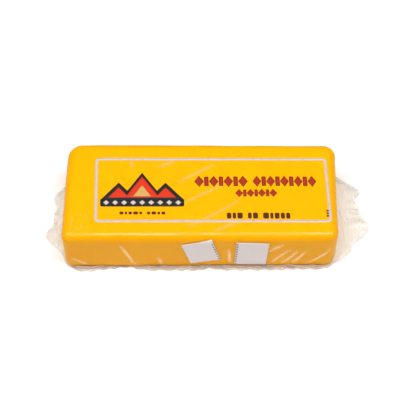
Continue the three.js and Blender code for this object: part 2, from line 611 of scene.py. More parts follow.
@dataclass(frozen=True)
class Fold:
    """A fold of film that stands off the bar: a ridge along a curve with one bend."""

    start: Array
    bend: Array
    end: Array
    crest: Crest
    samples: int = 28
    room: float = 4.0
    fade_margin: float = 0.02

    def at(self, points: Array) -> Array:
        """How much of the fold's height each point has: a bell across the curve, running out at its ends."""
        share = np.linspace(0, 1, self.samples)[:, None]
        curve = (1 - share) ** 2 * self.start + 2 * share * (1 - share) * self.bend + share**2 * self.end
        room = self.room * self.crest.width
        close = ((points > curve.min(axis=0) - room) & (points < curve.max(axis=0) + room)).all(axis=-1)
        away = np.linalg.norm(points[close][:, None] - curve, axis=-1)
        fade = np.sqrt(np.sin(math.pi * np.linspace(self.fade_margin, 1 - self.fade_margin, self.samples)))
        amount = np.zeros(points.shape[:-1])
        amount[close] = bell(away.min(axis=1), self.crest.width) * fade[away.argmin(axis=1)]
        return amount


@dataclass(frozen=True)
class FoldSet:
    """The folds of film on the bar. A row is a fold's start and end on its face, and how far it bows."""

    bar: Bar
    top_rows: Rows = (
        (-34.0, 13.0, -34.3, 16.2, 0.0),
        (-20.9, 12.8, -13.2, 16.5, 0.0),
        (-10.7, 4.2, 6.6, 14.3, 0.5),
        (-7.6, -7.7, 10.5, 2.2, 0.4),
        (-5.7, -21.5, 19.2, -6.1, -0.8),
        (7.3, -23.5, 22.0, -17.4, 0.3),
    )
    front_rows: Rows = (
        (-63.0, 9.5, -53.5, 2.0, -0.8),
        (-39.0, 21.5, -32.8, 3.6, 0.6),
        (-20.6, 9.6, -19.2, 3.8, 0.0),
        (13.8, 17.3, 14.5, 4.3, 0.0),
        (33.7, 15.7, 39.8, 22.0, 0.4),
        (35.0, 4.8, 43.6, 17.4, 0.5),
        (39.8, 4.6, 46.9, 15.7, -1.7),
        (45.2, 4.1, 51.4, 15.0, -0.4),
        (52.1, 3.8, 63.1, 16.7, -2.2),
    )
    corner_bulge: tuple[float, ...] = (23.0, 25.5, 18.5, 16.0, 0.0)
    # The milk of each kind of fold is a painted highlight along it, strongest on the front
    top_crest: Crest = Crest(0.05, 0.42, 0.32)
    front_crest: Crest = Crest(0.1, 0.5, 0.7)
    bulge_crest: Crest = Crest(0.8, 1.4, 0.0)
    fleck_crest: Crest = Crest(0.06, 0.3, 0.18)
    random_faces: tuple[tuple[Face, int, float], ...] = (
        (Face.BACK, 9, 54.0),
        (Face.LEFT, 4, 18.0),
        (Face.RIGHT, 4, 18.0),
    )
    random_low: Pair = (3.0, 8.0)
    random_rise: Pair = (4.0, 13.0)
    random_lean: float = 0.6
    random_lean_run: float = 14.0
    random_lean_spread: float = 0.2
    random_shift: float = 5.0
    random_bow: float = 1.5
    random_haze: Pair = (0.15, 0.5)
    flecks: int = 12
    fleck_x: Pair = (-63.5, -55.0)
    fleck_y: Pair = (-24.0, -14.0)
    fleck_run: Pair = (0.6, 1.6)
    fleck_rise: float = 0.6
    seed: int = 11

    def lying(self, row: tuple[float, ...], face: Face, crest: Crest) -> Fold:
        """A fold on a face of the bar, its bend set off to the side of its middle."""
        first = np.array(row[0:2])
        last = np.array(row[2:4])
        run = last - first
        side = np.array([-run[1], run[0]]) / np.hypot(*run)
        flat = np.stack([first, (first + last) / 2 + row[4] * side, last])
        return Fold(*self.bar.on_face(flat, face, 0.0), crest)

    def random_fold(self, draw: np.random.Generator, face: Face, place: float) -> Fold:
        """A fold near a place along a face that doesn't show, of the same kind as those on the front."""
        low = draw.uniform(*self.random_low)
        rise = draw.uniform(*self.random_rise)
        spread = draw.uniform(-self.random_lean_spread, self.random_lean_spread)
        lean = (self.random_lean * math.sin(place / self.random_lean_run) + spread) * rise
        start = place + draw.uniform(-self.random_shift, self.random_shift)
        bow = draw.uniform(-self.random_bow, self.random_bow)
        crest = Crest(self.front_crest.height, self.front_crest.width, draw.uniform(*self.random_haze))
        return self.lying((start, low, start + lean, low + rise, bow), face, crest)

    def fleck(self, draw: np.random.Generator) -> Fold:
        """A short fold near the top's front left corner."""
        x = draw.uniform(*self.fleck_x)
        y = draw.uniform(*self.fleck_y)
        row = (x, y, x + draw.uniform(*self.fleck_run), y + self.fleck_rise, 0.0)
        return self.lying(row, Face.TOP, self.fleck_crest)

    def folds(self) -> list[Fold]:
        """The folds that show, and ones of the same kind drawn at random for the back and the ends."""
        found = [self.lying(row, Face.TOP, self.top_crest) for row in self.top_rows]
        found += [self.lying(row, Face.FRONT, self.front_crest) for row in self.front_rows]
        found.append(self.lying(self.corner_bulge, Face.RIGHT, self.bulge_crest))
        draw = np.random.default_rng(self.seed)
        for face, count, half in self.random_faces:
            found += [self.random_fold(draw, face, place) for place in np.linspace(-half, half, count)]
        return found + [self.fleck(draw) for _ in range(self.flecks)]


# The cheese


@dataclass(frozen=True)
class Cheese:
    """The bar of cheddar inside the film. The film's folds mark its faces."""

    bar: Bar
    folds: list[Fold]
    finish: CheddarFinish = CheddarFinish()
    floor_gap: float = 0.12
    foot_edge: float = 3.0
    mark: float = 0.45
    steps: tuple[int, int, int] = (180, 70, 10)
    top_rows: int = 32
    edge_rows: int = 9
    wall_rows: int = 34
    under_rows: int = 6

    def rows(self) -> Array:
        """The closed surface: out over the top, down the wall, round the lower edge and in underneath."""
        bar = self.bar
        walk = bar.walk(*self.steps)
        top = bar.skin(walk, self.top_rows, self.edge_rows, 0.0)
        wall_level = np.linspace(bar.height - bar.edge, self.foot_edge, self.wall_rows)[1:-1]
        flat = np.zeros(len(wall_level))
        wall = bar.stand_off(walk, flat, wall_level, flat + QUARTER)
        lean = QUARTER + np.linspace(0, QUARTER, self.edge_rows)
        low_inset = self.foot_edge * (1 - np.sin(lean))
        low_level = self.floor_gap + (self.foot_edge - self.floor_gap) * (1 + np.cos(lean))
        low = bar.stand_off(walk, low_inset, low_level, lean)
        low[0][-1, :, 2] = self.floor_gap
        under_inset = np.linspace(self.foot_edge, bar.width / 2, self.under_rows)[1:]
        under = bar.underside(walk, under_inset, self.floor_gap)
        rows, away = (np.concatenate(parts) for parts in zip(top, wall, low, under))
        marks = np.max([fold.crest.height * fold.at(rows) for fold in self.folds], axis=0)
        return rows + away * (self.mark * marks)[..., None]

    def build(self) -> None:
        """Builds and dresses the cheese."""
        finish_piece(loft("cheese", self.rows()), self.finish.material(), Slot.CHEDDAR, "cheese_block")


# The film


@dataclass(frozen=True)
class Lobe:
    """A bulge or a pinch of the film's free edge: its place, its size and its spread."""

    at: float
    size: float
    spread: float

    def along(self, place: Array) -> Array:
        """The bulge at each place: a bell of its size."""
        return self.size * bell(place - self.at, self.spread)


@dataclass(frozen=True)
class Foot:
    """The bar's outline at its foot: its places, and how far the margin and its flaps reach past it there."""

    walk: Walk
    x: Array
    y: Array
    reach: Array
    flap: Array


@dataclass(frozen=True)
class Margin:
    """The sealed margin round the foot of the bar: a narrow wavy hem, and crumpled flaps at the two ends."""

    bar: Bar
    tuck: float = 1.2
    seal_height: float = 0.55
    least_height: float = 0.3
    layer_gap: float = 0.2
    # The hem
    hem_reach: float = 2.3
    hem_least: float = 0.15
    hem_lift: float = 0.75
    hem_ripple: float = 0.42
    hem_wave: float = 10.5
    hem_arch: float = 1.15
    frill: float = 0.32
    frill_wave: Wander = Wander(6.3 / TURN, 1.5, 7.0)
    frill_lag: float = 1.2
    front_lobes: tuple[Lobe, ...] = (
        Lobe(-67, -1.7, 4),
        Lobe(-57, 0.5, 3.5),
        Lobe(-46, -0.9, 5),
        Lobe(-36, -1.9, 4.5),
        Lobe(5, -1.1, 2.5),
        Lobe(50, -0.4, 6),
        Lobe(67, -1.6, 4),
    )
    back_lobes: tuple[Lobe, ...] = (Lobe(-47, -1.4, 5), Lobe(-9, -1.7, 7), Lobe(31, -1.2, 4))
    front_lifts: tuple[Lobe, ...] = (Lobe(34.9, 0.4, 1.8), Lobe(42.2, 0.7, 2.2), Lobe(50.4, 0.5, 2))
    # The flaps
    right_lobes: tuple[Lobe, ...] = (
        Lobe(-19.3, 8.2, 3.4),
        Lobe(-6.5, 18.2, 8.5),
        Lobe(4.5, 13.6, 7),
        Lobe(14.9, 14.6, 5.4),
    )
    left_lobes: tuple[Lobe, ...] = (Lobe(-10.5, 11.2, 6), Lobe(0, 8, 7), Lobe(11, 8.6, 6))
    lobe_joining: float = 4.0
    flap_lift: float = 0.17
    flap_arch: float = 0.75
    pleat_depth: float = 0.022
    pleat_wave: float = 9.2
    crease_depth: float = 0.008
    crease_wave: float = 4.3
    slant: float = 3.5
    slant_run: float = 5.0
    crumple: float = 0.24
    crumple_count: int = 6
    crumple_waves: Pair = (3.5, 9.0)
    # Each row shifts X and Y by a wave with given runs along X and Y, and a start
    crumple_bends: Rows = (
        (1.3, 0.0, math.inf, 3.1, 0.0),
        (0.8, 0.0, 2.3, 4.7, 0.0),
        (0.0, 1.5, 3.7, math.inf, 1.0),
        (0.0, 0.7, -5.3, 1.9, 0.0),
    )
    streak_places: tuple[float, ...] = (1.7, 3.6, 5.7, 8.2, 10.6, 13.3)
    streak_spread: float = 0.4
    streak_lift: float = 0.22
    # The least and greatest runs of a streak's slow and quick waves and of its fading
    streak_runs: Rows = ((3.0, 1.2, 2.5), (6.0, 2.2, 5.0))
    streak_wander: Pair = (0.9, 0.35)
    ends_apart: float = 40.0
    seed: int = 12
    # How milky and how tinted it is: the hem's crest and rim lines are painted highlights, and its tint is
    # painted shade
    rim_start: float = 0.86
    crest_place: float = 0.44
    crest_spread: float = 0.08
    uneven: float = 0.25
    uneven_wave: Wander = Wander(2.1, 2.0, 4.3)
    hem_haze: float = 0.08
    hem_crest_highlight: float = 0.6
    hem_rim_highlight: float = 0.4
    flap_haze: float = 0.16
    flap_streak_haze: float = 0.12
    flap_rim_haze: float = 0.06
    # The hem's deep tint is painted shade; the rim's smaller tint leaves a lighter painted highlight line
    hem_seal_and_shade: float = 0.95
    hem_rim_seal: float = -0.35
    flap_seal: float = 0.16
    flap_rim_seal: float = 0.1

    def foot(self, walk: Walk) -> Foot:
        """Where the margin starts, and how far it reaches.

        The hem is one width with bulges and pinches. A flap is the largest of its lobes, run smoothly
        together.

        Args:
            walk: Where to go around.

        Returns:
            The outline's places and the reach at each.
        """
        place = self.bar.ring(walk, np.zeros((1, 1)))[0]
        x, y = place[:, 0], place[:, 1]
        frill = self.frill * np.sin(self.frill_wave.angle(x))
        fronts = self.hem_reach + sum(lobe.along(x) for lobe in self.front_lobes)
        backs = self.hem_reach + sum(lobe.along(x) for lobe in self.back_lobes)
        hem = np.maximum(np.where(walk.outward[:, 1] < 0, fronts, backs) + frill, self.hem_least)
        power = self.lobe_joining
        rights = sum(lobe.along(y) ** power for lobe in self.right_lobes) ** (1 / power)
        lefts = sum(lobe.along(y) ** power for lobe in self.left_lobes) ** (1 / power)
        flap = np.where(walk.outward[:, 0] > 0, rights, lefts)
        return Foot(walk, x, y, blend(walk.end_share, hem, flap), flap)

    def across(self, foot: Foot, distance: Array) -> Array:
        """Share of the way from the margin's start to its free edge, at a distance from the outline."""
        return (distance + self.tuck) / (self.tuck + foot.reach)

    def rise(self, foot: Foot, across: Array) -> Array:
        """Height of the margin's middle above its start: the hem ripples, and the flaps arch in pleats.

        Args:
            foot: Where the margin starts.
            across: Share of the way from there to its free edge, rows by places.

        Returns:
            Heights in millimetres, rows by places.
        """
        walk, x, y = foot.walk, foot.x, foot.y
        frill = self.frill * np.sin(self.frill_wave.angle(x) + self.frill_lag)
        lifts = np.where(walk.outward[:, 1] < 0, sum(lobe.along(x) for lobe in self.front_lifts), 0.0)
        hem = self.hem_lift + self.hem_ripple * np.sin(TURN * x / self.hem_wave) + frill + lifts
        hem_arch = np.sin(math.pi * np.clip(across / self.hem_arch, 0, 1))
        slanted = y + self.slant * across * np.sin(y / self.slant_run)
        pleat = self.pleat_depth * np.sin(TURN * slanted / self.pleat_wave)
        crease = self.crease_depth * np.sin(TURN * slanted / self.crease_wave)
        arch = self.flap_lift * np.sin(math.pi * self.flap_arch * across) + (pleat + crease) * across
        return blend(walk.end_share, hem * hem_arch, foot.flap * arch)

    def crumpled(self, place: Array) -> Array:
        """Sharp creases of handled film: zigzag waves in random directions, bent by slow sine waves."""
        draw = np.random.default_rng(self.seed)
        x, y = place[..., 0], place[..., 1]
        bent_x, bent_y = x, y
        for shift_x, shift_y, run_x, run_y, start in self.crumple_bends:
            wave = np.sin(x / run_x + y / run_y + start)
            bent_x = bent_x + shift_x * wave
            bent_y = bent_y + shift_y * wave
        total = np.zeros(x.shape)
        for _ in range(self.crumple_count):
            angle = draw.uniform(0, math.pi)
            wave = draw.uniform(*self.crumple_waves)
            turns = (bent_x * math.cos(angle) + bent_y * math.sin(angle)) / wave + draw.uniform(0, 1)
            total += zigzag(turns) * wave
        return total / (self.crumple_count * sum(self.crumple_waves) / 2) * 2

    def streaks(self, foot: Foot, distance: Array) -> Array:
        """Long creases beside the bar's ends: bells across lines that wander and come and go.

        Args:
            foot: Where the margin starts.
            distance: How far out from the bar's outline, rows by places.

        Returns:
            0 to 1 for each point.
        """
        draw = np.random.default_rng(self.seed + 1)
        along = foot.y + self.ends_apart * np.sign(foot.walk.outward[:, 0])
        wide, narrow = self.streak_wander
        total = np.zeros(distance.shape)
        for place in self.streak_places:
            slow, quick, fade = draw.uniform(*self.streak_runs)
            phases = draw.uniform(0, TURN, 3)
            line = place + wide * np.sin(along / slow + phases[0])
            line = line + narrow * np.sin(along / quick + phases[1])
            strength = swell(along / fade + phases[2])
            total = np.maximum(total, strength * bell(distance - line, self.streak_spread))
        return total * foot.walk.end_share

    def look(self, foot: Foot, distance: Array) -> tuple[Array, Array]:
        """How milky and how tinted the margin is, with painted highlights and painted shade on the hem.

        The hem is tinted with painted shade between two milky lines, on its crest and its rim, which are
        painted highlights. The flaps are paler, with milky streaks and a rim that is a little darker.

        Args:
            foot: Where the margin starts.
            distance: How far out from the bar's outline, rows by places.

        Returns:
            How milky and how tinted each point is, with the painted highlights and painted shade.
        """
        across = self.across(foot, distance)
        rim = smooth(across, self.rim_start, 1.0)
        crest = bell(across - self.crest_place, self.crest_spread)
        uneven = 1 - self.uneven + self.uneven * np.sin(self.uneven_wave.angle(foot.x))
        hem_haze = self.hem_haze + uneven * (self.hem_crest_highlight * crest + self.hem_rim_highlight * rim)
        flap_haze = self.flap_haze + self.flap_streak_haze * self.streaks(foot, distance)
        flap_haze = flap_haze + self.flap_rim_haze * rim
        hem_seal_and_shade = self.hem_seal_and_shade + self.hem_rim_seal * rim
        flap_seal = self.flap_seal + self.flap_rim_seal * rim
        share = foot.walk.end_share
        return blend(share, hem_haze, flap_haze), blend(share, hem_seal_and_shade, flap_seal)

    def layer(self, foot: Foot, distance: Array, side: float) -> Array:
        """Points of the margin's upper layer, where side is 1, or its lower, where it is -1."""
        across = self.across(foot, distance)
        place = self.bar.ring(foot.walk, -distance)
        crease = self.crumple * self.crumpled(place) * np.clip(across, 0, 1) * foot.walk.end_share
        crease += self.streak_lift * self.streaks(foot, distance)
        middle = self.seal_height + self.rise(foot, across) + crease
        height = np.maximum(middle, self.least_height) + side * self.layer_gap / 2
        return np.concatenate([place, height[..., None]], axis=-1)


@dataclass(frozen=True)
class Film:
    """The clear film: a closed bag, tight on the bar, with its sealed margin."""

    bar: Bar
    margin: Margin
    folds: list[Fold]
    finish: FilmFinish = FilmFinish()
    steps: tuple[int, int, int] = (200, 76, 12)
    top_rows: int = 40
    edge_rows: int = 10
    wall_rows: int = 35
    turn_rows: int = 13
    upper_rows: int = 35
    lower_rows: int = 17
    # Where it lies tight
    gap: float = 0.14
    tent: float = 0.2
    tent_pleat: float = 0.12
    tent_depths: Pair = (6.0, 26.0)
    pucker: float = 0.05
    pucker_wave: Wander = Wander(3.7 / TURN, 2.0, 5.1)
    tight_shine: float = 0.18
    ridge_shine: float = 0.4
    ridge_lean: float = 0.35
    ridge_spread: float = 0.2
    ridge_wave: Wander = Wander(6.3, 2.0, 11.0)
    # Where it leaves the wall and lands on the margin
    hem_leave: float = 3.2
    hem_landing: float = 0.1
    hem_landing_depth: float = 0.35
    hem_landing_wave: Wander = Wander(2.7, 1.4, 6.1)
    flap_leave: float = 5.5
    flap_leave_wave: float = 0.8
    flap_reach_share: float = 0.5
    flap_slope: float = 0.55
    hem_hang: float = 0.6
    flap_hang: float = 0.5
    hem_pull: float = 0.2
    flap_pull: float = 0.7
    hem_curl: float = 0.08
    seal_start: float = 0.65
    seal_shine: float = 0.45
    web_height: float = 0.05
    web_insets: tuple[float, ...] = (1.8, 5.0, 12.0)

    def tight(self, walk: Walk, leave: Array) -> tuple[Array, Array, Array]:
        """The film on the top and down the walls, to the height where it leaves them.

        Args:
            walk: Where to go around.
            leave: Height at which the film leaves the wall at each place.

        Returns:
            Points, rows by places by 3, how milky the folds make each of them, a milk that is a painted
            highlight, and how glossy each is.
        """
        bar = self.bar
        top = bar.skin(walk, self.top_rows, self.edge_rows, self.gap)
        down = np.linspace(0, 1, self.wall_rows)[1:, None]
        level = (bar.height - bar.edge) * (1 - down) + leave * down
        flat = np.zeros(len(level))
        wall = bar.stand_off(walk, flat, level, flat + QUARTER, self.gap)
        points, away = (np.concatenate(parts) for parts in zip(top, wall))
        x, y, z = np.moveaxis(points, -1, 0)
        amounts = [(fold.crest, fold.at(points)) for fold in self.folds]
        height = np.max([crest.height * amount for crest, amount in amounts], axis=0)
        haze_and_highlight = np.max([crest.haze_and_highlight * amount for crest, amount in amounts], axis=0)
        pleat = np.sin(TURN * y / self.margin.pleat_wave)
        lower = smooth(bar.height - z, *self.tent_depths)
        tent = lower**2 * walk.end_share * (self.tent + self.tent_pleat * pleat)
        lean = np.arccos(np.clip(away[..., 2], -1, 1))
        edge = np.sin(math.pi * smooth(lean, 0.0, QUARTER))
        pucker = self.pucker * edge * (1 + np.sin(self.pucker_wave.angle(x)))
        ridge = bell(lean - self.ridge_lean, self.ridge_spread) * swell(self.ridge_wave.angle(x))
        shine = self.tight_shine + self.ridge_shine * ridge
        return points + away * (height + tent + pucker)[..., None], haze_and_highlight, shine

    def turn(self, foot: Foot, first: Array, landing: Array, bend: Array) -> Array:
        """The film from the wall to the margin: along the hem it curls in, at the ends it slopes out.

        Args:
            foot: Where the margin starts.
            first: Points where the film leaves the wall.
            landing: Points where it meets the margin.
            bend: Share of the way for each row.

        Returns:
            Points on curves with two guiding points, rows by places by 3.
        """
        share = foot.walk.end_share
        drop = first[:, 2] - landing[:, 2]
        second = first.copy()
        second[:, 2] -= blend(share, self.hem_hang, self.flap_hang) * drop
        third = landing.copy()
        pull = blend(share, self.hem_pull, self.flap_pull)
        third[:, :2] += pull[:, None] * (first[:, :2] - landing[:, :2])
        third[:, 2] += (1 - share) * self.hem_curl * drop
        bend = bend[..., None]
        near = (1 - bend) ** 3 * first + 3 * bend * (1 - bend) ** 2 * second
        return near + 3 * bend**2 * (1 - bend) * third + bend**3 * landing

    def rows(self) -> tuple[Array, Values]:
        """The closed bag, from the middle of the top to the middle of the underside.

        The upper layer covers the top and the walls, leaves them near the foot and runs out to the free edge.
        The lower layer runs back from there and lies flat under the bar.

        Returns:
            Points, rows by places by 3, and how milky, tinted and glossy each point is, the milk holding
            painted highlights and the tint painted shade.
        """
        bar = self.bar
        margin = self.margin
        walk = bar.walk(*self.steps)
        share = walk.end_share
        foot = margin.foot(walk)
        flap_leave = self.flap_leave + self.flap_leave_wave * np.sin(TURN * foot.y / margin.pleat_wave)
        tight, fold_highlight, fold_shine = self.tight(walk, blend(share, self.hem_leave, flap_leave))

        slope = np.minimum(self.flap_reach_share * foot.reach, self.flap_slope * flap_leave)
        hem_out = self.hem_landing + self.hem_landing_depth * np.sin(self.hem_landing_wave.angle(foot.x))
        out = blend(share, hem_out, slope)
        landing = margin.layer(foot, out[None, :], 1.0)[0]
        bend = np.linspace(0, 1, self.turn_rows)[1:, None]
        turn = self.turn(foot, tight[-1], landing, bend)

        upper_out = out + (foot.reach - out) * np.linspace(0, 1, self.upper_rows)[1:, None]
        upper = margin.layer(foot, upper_out, 1.0)
        lower_share = np.linspace(1, 0, self.lower_rows)[:, None]
        lower_out = lower_share * (margin.tuck + foot.reach) - margin.tuck
        lower = margin.layer(foot, lower_out, -1.0)
        under, _ = bar.underside(walk, np.array([*self.web_insets, bar.width / 2]), self.web_height)

        edge_haze_and_highlight, edge_seal_and_shade = margin.look(foot, np.concatenate([upper_out, lower_out]))
        arrive = smooth(bend, self.seal_start, 1.0)
        none = np.zeros(under.shape[:2])
        haze_and_highlight = np.concatenate([fold_highlight, arrive * edge_haze_and_highlight[0], edge_haze_and_highlight, none])
        margin_seal_and_shade = np.concatenate([arrive * edge_seal_and_shade[0], edge_seal_and_shade, none])
        margin_shine = self.tight_shine + (self.seal_shine - self.tight_shine) * margin_seal_and_shade
        seal_and_shade = np.concatenate([np.zeros(fold_highlight.shape), margin_seal_and_shade])
        shine = np.concatenate([fold_shine, margin_shine])
        rows = np.concatenate([tight, turn, upper, lower, under])
        return rows, {"haze_and_highlight": haze_and_highlight, "seal_and_shade": seal_and_shade, "shine": shine}

    def build(self) -> None:
        """Builds and dresses the film."""
        finish_piece(loft("wrap_film", *self.rows()), self.finish.material(), Slot.FILM, "film_margin")


# Flat shapes, and the print on the film


@dataclass(frozen=True)
class Lift:
    """Where flat print or paper lies: on the bar's top or front, between two heights off it."""

    bar: Bar
    low: float
    high: float
    face: Face = Face.TOP

    def place(self, places: Array, upper: bool) -> Array:
        """Points in space for flat places, on the upper or the lower face of the layer."""
        return self.bar.on_face(places, self.face, self.high if upper else self.low)

    def sheet(self, spread: Array) -> Array:
        """Rows of a closed sheet: flat rows on the upper face, then back in on the lower."""
        return np.concatenate([self.place(spread, True), self.place(spread[::-1], False)])


def plates(name: str, outlines: list[Array], lift: Lift) -> Thing:
    """Thin closed plates with star-shaped outlines, joined in one mesh.

    Each plate is rows of its own outline, drawn from the middle out on top, down the rim and back
    to the middle underneath.

    Args:
        name: Name of the object.
        outlines: Each an n by 2 array of places, anticlockwise.
        lift: Gives the place in space of points on the plates' upper or lower faces.

    Returns:
        The object that holds all the plates.
    """
    shares = np.linspace(0, 1, PLATE_ROWS)
    points: list[Array] = []
    faces: list[Array] = []
    start = 0
    for outline in outlines:
        middle = outline.mean(axis=0)
        rows = lift.sheet(middle + shares[:, None, None] * (outline - middle))
        faces.append(loft_faces(len(rows), len(outline)) + start)
        points.append(rows.reshape(-1, 3))
        start += rows.shape[0] * rows.shape[1]
    return mesh_object(name, np.concatenate(points), np.concatenate(faces))


def polygon(corners: Array | list[Pair], steps: int) -> Array:
    """Outline of a polygon, anticlockwise, with each side cut into steps."""
    first = np.array(corners)
    following = np.roll(first, -1, axis=0)
    share = np.arange(steps)[None, :, None] / steps
    return (first[:, None] + (following - first)[:, None] * share).reshape(-1, 2)


def rounded_bar(
    x: float, y: float, width: float, height: float, radius: float, steps: int = BAR_STEPS
) -> Array:
    """Outline of a rectangle with round corners about a middle, with each stretch cut into steps."""
    radius = min(radius, width / 2, height / 2)
    arc = np.linspace(0, QUARTER, ARC_POINTS)
    signs = np.repeat([(1, 1), (-1, 1), (-1, -1), (1, -1)], len(arc), axis=0)
    angle = np.concatenate([arc + number * QUARTER for number in range(4)])
    middles = np.array([x, y]) + signs * (np.array([width, height]) / 2 - radius)
    return polygon(middles + radius * np.stack([np.cos(angle), np.sin(angle)], axis=1), steps)


def lozenge(x: float, y: float, width: float, height: float) -> Array:
    """Outline of a lozenge about a middle."""
    corners = [(x + width / 2, y), (x, y + height / 2), (x - width / 2, y), (x, y - height / 2)]
    return polygon(corners, LOZENGE_STEPS)


@dataclass(frozen=True)
class Hill:
    """A triangle of the emblem: its middle and its foot from the top of the band, its width and height."""

    x: float
    foot: float
    width: float
    height: float

    def outline(self, x: float, y: float) -> Array:
        """The hill's outline, where the middle of the band's top is at x and y."""
        middle = x + self.x
        foot = y + self.foot
        half = self.width / 2
        corners = [(middle - half, foot), (middle + half, foot), (middle, foot + self.height)]
        return polygon(corners, HILL_STEPS)


@dataclass(frozen=True)
class Ornament:
    """A row of lozenges with upright bars between them, and how far its dark edge stands out."""

    y: float
    height: float
    start: float
    end: float
    count: int
    edge: float
    bar_width: float = 0.26
    bar_height: float = 0.86
    bar_radius: float = 0.4
    gap: float = 0.15
    point_growth: float = 2.4

    def outlines(self, grow: float) -> list[Array]:
        """Outlines of the row, each grown by grow on all sides. Bars and gaps are shares of its height."""
        bar_width = self.bar_width * self.height
        between = bar_width + 2 * self.gap * self.height
        width = (self.end - self.start - (self.count - 1) * between) / self.count
        pitch = width + between
        middles = self.start + width / 2 + pitch * np.arange(self.count)
        wider = self.point_growth * grow
        found = [lozenge(x, self.y, width + wider, self.height + wider) for x in middles]
        size = (bar_width + 2 * grow, self.bar_height * self.height + 2 * grow)
        return found + [rounded_bar(x, self.y, *size, self.bar_radius) for x in middles[:-1] + pitch / 2]


@dataclass(frozen=True)
class BlockRow:
    """A row of small upright blocks: where it lies, the gap between blocks and their widths. 0 is a space."""

    y: float
    height: float
    start: float
    gap: float
    widths: tuple[float, ...]
    space: float = 1.2
    radius: float = 0.7

    def outlines(self) -> list[Array]:
        """Outlines of the blocks."""
        found = []
        x = self.start
        for width in self.widths:
            if width:
                found.append(rounded_bar(x + width / 2, self.y, width, self.height, self.radius))
            x += (width or self.space) + self.gap
        return found


@dataclass(frozen=True)
class Print:
    """The print over the top: a frame line, a hill emblem, rows of lozenges and bars, and plain blocks."""

    bar: Bar
    lean: float = -0.031
    ink_off: float = 0.02
    ink_thickness: float = 0.02
    ink_step: float = 0.03
    frame_middle: Pair = (5.6, -0.2)
    frame_size: Pair = (115.2, 37.4)
    frame_line: float = 1.45
    frame_radius: float = 2.2
    frame_steps: int = 24
    emblem_foot: Pair = (-28.7, -9.9)
    band_size: Pair = (41.0, 4.6)
    band_radius: float = 1.0
    band_steps: int = 20
    dark_hills: tuple[Hill, ...] = (
        Hill(-11.5, -0.2, 17.0, 9.4),
        Hill(11.5, -0.2, 17.0, 9.4),
        Hill(0.0, -0.2, 21.0, 15.2),
    )
    red_hills: tuple[Hill, ...] = (
        Hill(0.0, 0.6, 16.8, 12.2),
        Hill(-11.5, 0.6, 10.4, 5.8),
        Hill(11.5, 0.6, 10.4, 5.8),
    )
    peak: Hill = Hill(0.0, 1.3, 8.8, 6.4)
    pale_row: tuple[int, ...] = tuple(range(-4, 5))
    pale_pitch: float = 4.4
    pale_size: Pair = (2.9, 2.7)
    headline: tuple[Ornament, ...] = (
        Ornament(4.7, 5.8, -2.6, 23.0, 4, 0.32),
        Ornament(4.7, 5.8, 26.1, 56.8, 5, 0.32),
        Ornament(-2.15, 4.1, 17.2, 37.2, 4, 0.256),
    )
    block_rows: tuple[BlockRow, ...] = (
        BlockRow(-15.1, 3.4, 12.3, 0.66, (2.2, 1.6, 2.6, 0, 1.8, 2.4, 0, 2.8, 1.5, 2.3, 1.9, 2.0)),
        BlockRow(-13.6, 1.7, -39.8, 0.6, (2.0, 1.2, 1.7, 2.4, 1.3, 0, 1.6, 2.2, 1.4, 1.9)),
    )
    dash_x: float = 61.4
    dash_levels: tuple[float, ...] = (-15.2, -13.7, -12.2)
    dash_size: Triple = (1.5, 0.9, 0.2)

    def lift(self, layer: int) -> Lift:
        """Each layer of ink lies just over the last, under the film."""
        low = self.ink_off + self.ink_step * layer
        return Lift(self.bar, low, low + self.ink_thickness)

    def leaned(self, outline: Array) -> Array:
        """The print leans a little, as the film was drawn over the bar."""
        return np.stack([outline[:, 0] + self.lean * outline[:, 1], outline[:, 1]], axis=1)

    def inked(self, name: str, outlines: list[Array], layer: int) -> Thing:
        """One piece of print on a layer of ink."""
        return plates(name, [self.leaned(outline) for outline in outlines], self.lift(layer))

    def frame_rows(self) -> Array:
        """The frame line: a flat band carried round a rectangle with round corners."""
        sides = []
        for inset in (0.0, self.frame_line):
            width, height = (size - 2 * inset for size in self.frame_size)
            radius = self.frame_radius - inset
            outline = rounded_bar(*self.frame_middle, width, height, radius, self.frame_steps)
            sides.append(self.leaned(outline))
        outer, inner = sides
        lift = self.lift(0)
        corners = ((inner, True), (outer, True), (outer, False), (inner, False), (inner, True))
        return np.stack([lift.place(side, upper) for side, upper in corners])

    def emblem(self) -> list[tuple[Thing, Ink]]:
        """Three hills with a bright peak on a dark band, which holds a row of pale lozenges."""
        x, foot = self.emblem_foot
        width, height = self.band_size
        middle = foot + height / 2
        top = foot + height
        band = rounded_bar(x, middle, width, height, self.band_radius, self.band_steps)
        dark = [band] + [hill.outline(x, top) for hill in self.dark_hills]
        red = [hill.outline(x, top) for hill in self.red_hills]
        pale = [lozenge(x + self.pale_pitch * step, middle, *self.pale_size) for step in self.pale_row]
        return [
            (self.inked("print_emblem_base", dark, 0), Ink.CHARCOAL),
            (self.inked("print_emblem_hills", red, 1), Ink.RED),
            (self.inked("print_emblem_peak", [self.peak.outline(x, top)], 2), Ink.CREAM),
            (self.inked("print_emblem_row", pale, 1), Ink.WHITE),
        ]

    def build(self) -> None:
        """Builds and dresses all the print."""
        inks = {ink: ink.value.material() for ink in Ink if ink is not Ink.GREY}
        pieces = [(loft("print_frame", self.frame_rows()), Ink.WHITE)] + self.emblem()
        edges = [outline for row in self.headline for outline in row.outlines(row.edge)]
        pieces.append((self.inked("print_headline_edge", edges, 0), Ink.MAROON))
        fills = [outline for row in self.headline for outline in row.outlines(0.0)]
        pieces.append((self.inked("print_headline_fill", fills, 1), Ink.BRICK))
        small = [outline for row in self.block_rows for outline in row.outlines()]
        small += [rounded_bar(self.dash_x, level, *self.dash_size) for level in self.dash_levels]
        pieces.append((self.inked("print_small_rows", small, 0), Ink.BROWN))
        for thing, ink in pieces:
            finish_piece(thing, inks[ink], Slot.FILM)


# The labels


